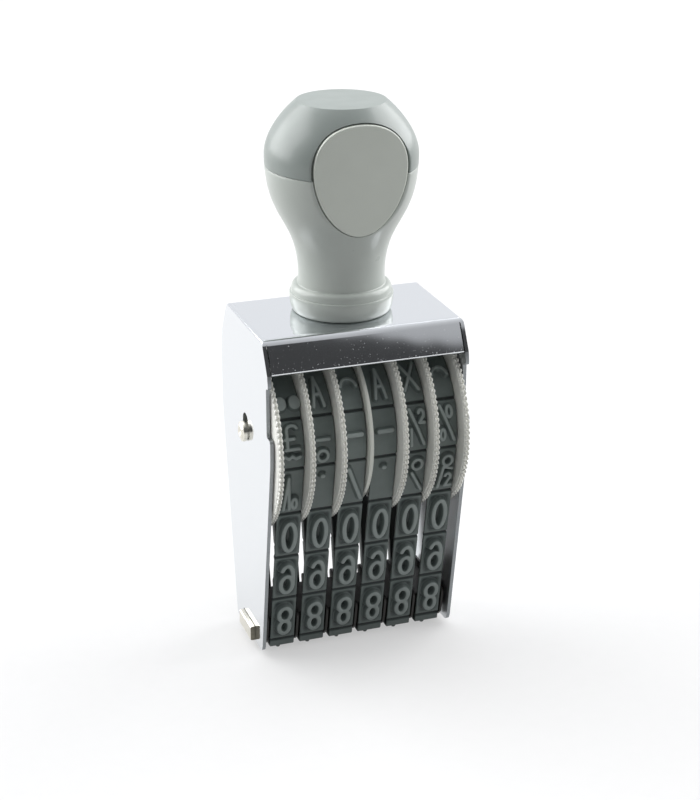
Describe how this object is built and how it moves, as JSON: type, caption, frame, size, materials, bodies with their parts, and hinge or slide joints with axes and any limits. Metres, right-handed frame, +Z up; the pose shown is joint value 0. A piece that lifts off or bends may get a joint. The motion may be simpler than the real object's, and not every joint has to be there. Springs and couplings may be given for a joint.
{
  "type": "numbering machine",
  "caption": "Hand numbering stamp: rubber digit bands on toothed thumb wheels in a folded chromed housing, under a round two-tone plastic handle.",
  "frame": {"origin": "under the middle of the housing, on the plane of the printing faces that the stamp stands on", "axes": "+Z up through the handle, +X along the wheel axle to the right of someone who faces the badge, front towards -Y"},
  "size_m": [0.0426, 0.0382, 0.1084],
  "materials": {
    "chrome_housing": "bright chromed sheet steel, lightly scratched",
    "handle_plastic": "glossy light grey moulded plastic",
    "cap_plastic": "glossy darker grey moulded plastic",
    "badge_plastic": "satin grey moulded plate, bare",
    "plated_steel": "nickel plated, satin",
    "disc_plastic": "smooth grey plastic",
    "wheel_plastic": "ivory moulded plastic",
    "band_rubber": "moulded grey rubber, satin",
    "black_sheet": "thin blackened sheet"
  },
  "bodies": {
    "housing": {"frame": "chrome_housing", "handle_body": "handle_plastic", "handle_cap": "cap_plastic", "handle_badge": "badge_plastic", "handle_screw": "plated_steel", "screw_washer": "plated_steel", "wheel_axle": "plated_steel", "centre_disc": "disc_plastic", "number_band_1": "band_rubber", "number_band_2": "band_rubber", "number_band_3": "band_rubber", "number_band_4": "band_rubber", "number_band_5": "band_rubber", "number_band_6": "band_rubber", "platen": "plated_steel", "band_divider_1": "black_sheet", "band_divider_2": "black_sheet", "band_divider_3": "black_sheet", "band_divider_4": "black_sheet", "band_divider_5": "black_sheet", "band_divider_6": "black_sheet", "band_divider_7": "black_sheet"},
    "wheel_1": {"thumb_wheel_1": "wheel_plastic"},
    "wheel_2": {"thumb_wheel_2": "wheel_plastic"},
    "wheel_3": {"thumb_wheel_3": "wheel_plastic"},
    "wheel_4": {"thumb_wheel_4": "wheel_plastic"},
    "wheel_5": {"thumb_wheel_5": "wheel_plastic"},
    "wheel_6": {"thumb_wheel_6": "wheel_plastic"}
  },
  "joints": [
    {"name": "wheel_1_turn", "type": "hinge", "parent": "housing", "child": "wheel_1", "pos_m": [-0.0161, 0, 0.0453], "axis": [1, 0, 0], "continuous": true},
    {"name": "wheel_2_turn", "type": "hinge", "parent": "housing", "child": "wheel_2", "pos_m": [-0.0099, 0, 0.0453], "axis": [1, 0, 0], "continuous": true},
    {"name": "wheel_3_turn", "type": "hinge", "parent": "housing", "child": "wheel_3", "pos_m": [-0.0037, 0, 0.0453], "axis": [1, 0, 0], "continuous": true},
    {"name": "wheel_4_turn", "type": "hinge", "parent": "housing", "child": "wheel_4", "pos_m": [0.0037, 0, 0.0453], "axis": [1, 0, 0], "continuous": true},
    {"name": "wheel_5_turn", "type": "hinge", "parent": "housing", "child": "wheel_5", "pos_m": [0.0099, 0, 0.0453], "axis": [1, 0, 0], "continuous": true},
    {"name": "wheel_6_turn", "type": "hinge", "parent": "housing", "child": "wheel_6", "pos_m": [0.0161, 0, 0.0453], "axis": [1, 0, 0], "continuous": true}
  ]
}
